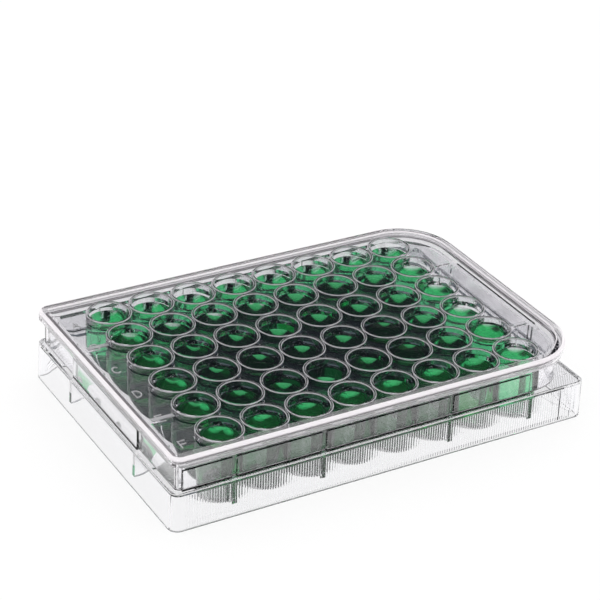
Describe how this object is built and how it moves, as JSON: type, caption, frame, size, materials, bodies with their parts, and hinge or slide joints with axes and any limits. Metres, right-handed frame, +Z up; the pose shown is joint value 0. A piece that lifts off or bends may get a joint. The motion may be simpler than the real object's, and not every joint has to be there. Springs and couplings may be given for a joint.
{
  "type": "lidded well plate",
  "caption": "Clear rectangular culture plate with a grid of round wells, a clear lid and green medium standing in the wells.",
  "frame": {"origin": "on the bench, under the middle of the plate's footprint", "axes": "+Z up; +X along the rows of wells from column 1 to column 8; +Y across the rows from row F to row A"},
  "size_m": [0.1278, 0.0854, 0.0218],
  "materials": {
    "plate_plastic": "clear moulded polystyrene, smooth and glossy",
    "lid_plastic": "clear moulded polystyrene, smooth and glossy",
    "green_medium": "clear green liquid with a still surface"
  },
  "bodies": {
    "root": {"plate": "plate_plastic", "lid": "lid_plastic", "medium_A1": "green_medium", "medium_A2": "green_medium", "medium_A3": "green_medium", "medium_A4": "green_medium", "medium_A5": "green_medium", "medium_A6": "green_medium", "medium_A7": "green_medium", "medium_A8": "green_medium", "medium_B1": "green_medium", "medium_B2": "green_medium", "medium_B3": "green_medium", "medium_B4": "green_medium", "medium_B5": "green_medium", "medium_B6": "green_medium", "medium_B7": "green_medium", "medium_B8": "green_medium", "medium_C1": "green_medium", "medium_C2": "green_medium", "medium_C3": "green_medium", "medium_C4": "green_medium", "medium_C5": "green_medium", "medium_C6": "green_medium", "medium_C7": "green_medium", "medium_C8": "green_medium", "medium_D1": "green_medium", "medium_D2": "green_medium", "medium_D3": "green_medium", "medium_D4": "green_medium", "medium_D5": "green_medium", "medium_D6": "green_medium", "medium_D7": "green_medium", "medium_D8": "green_medium", "medium_E1": "green_medium", "medium_E2": "green_medium", "medium_E3": "green_medium", "medium_E4": "green_medium", "medium_E5": "green_medium", "medium_E6": "green_medium", "medium_E7": "green_medium", "medium_E8": "green_medium", "medium_F1": "green_medium", "medium_F2": "green_medium", "medium_F3": "green_medium", "medium_F4": "green_medium", "medium_F5": "green_medium", "medium_F6": "green_medium", "medium_F7": "green_medium", "medium_F8": "green_medium"}
  },
  "joints": []
}
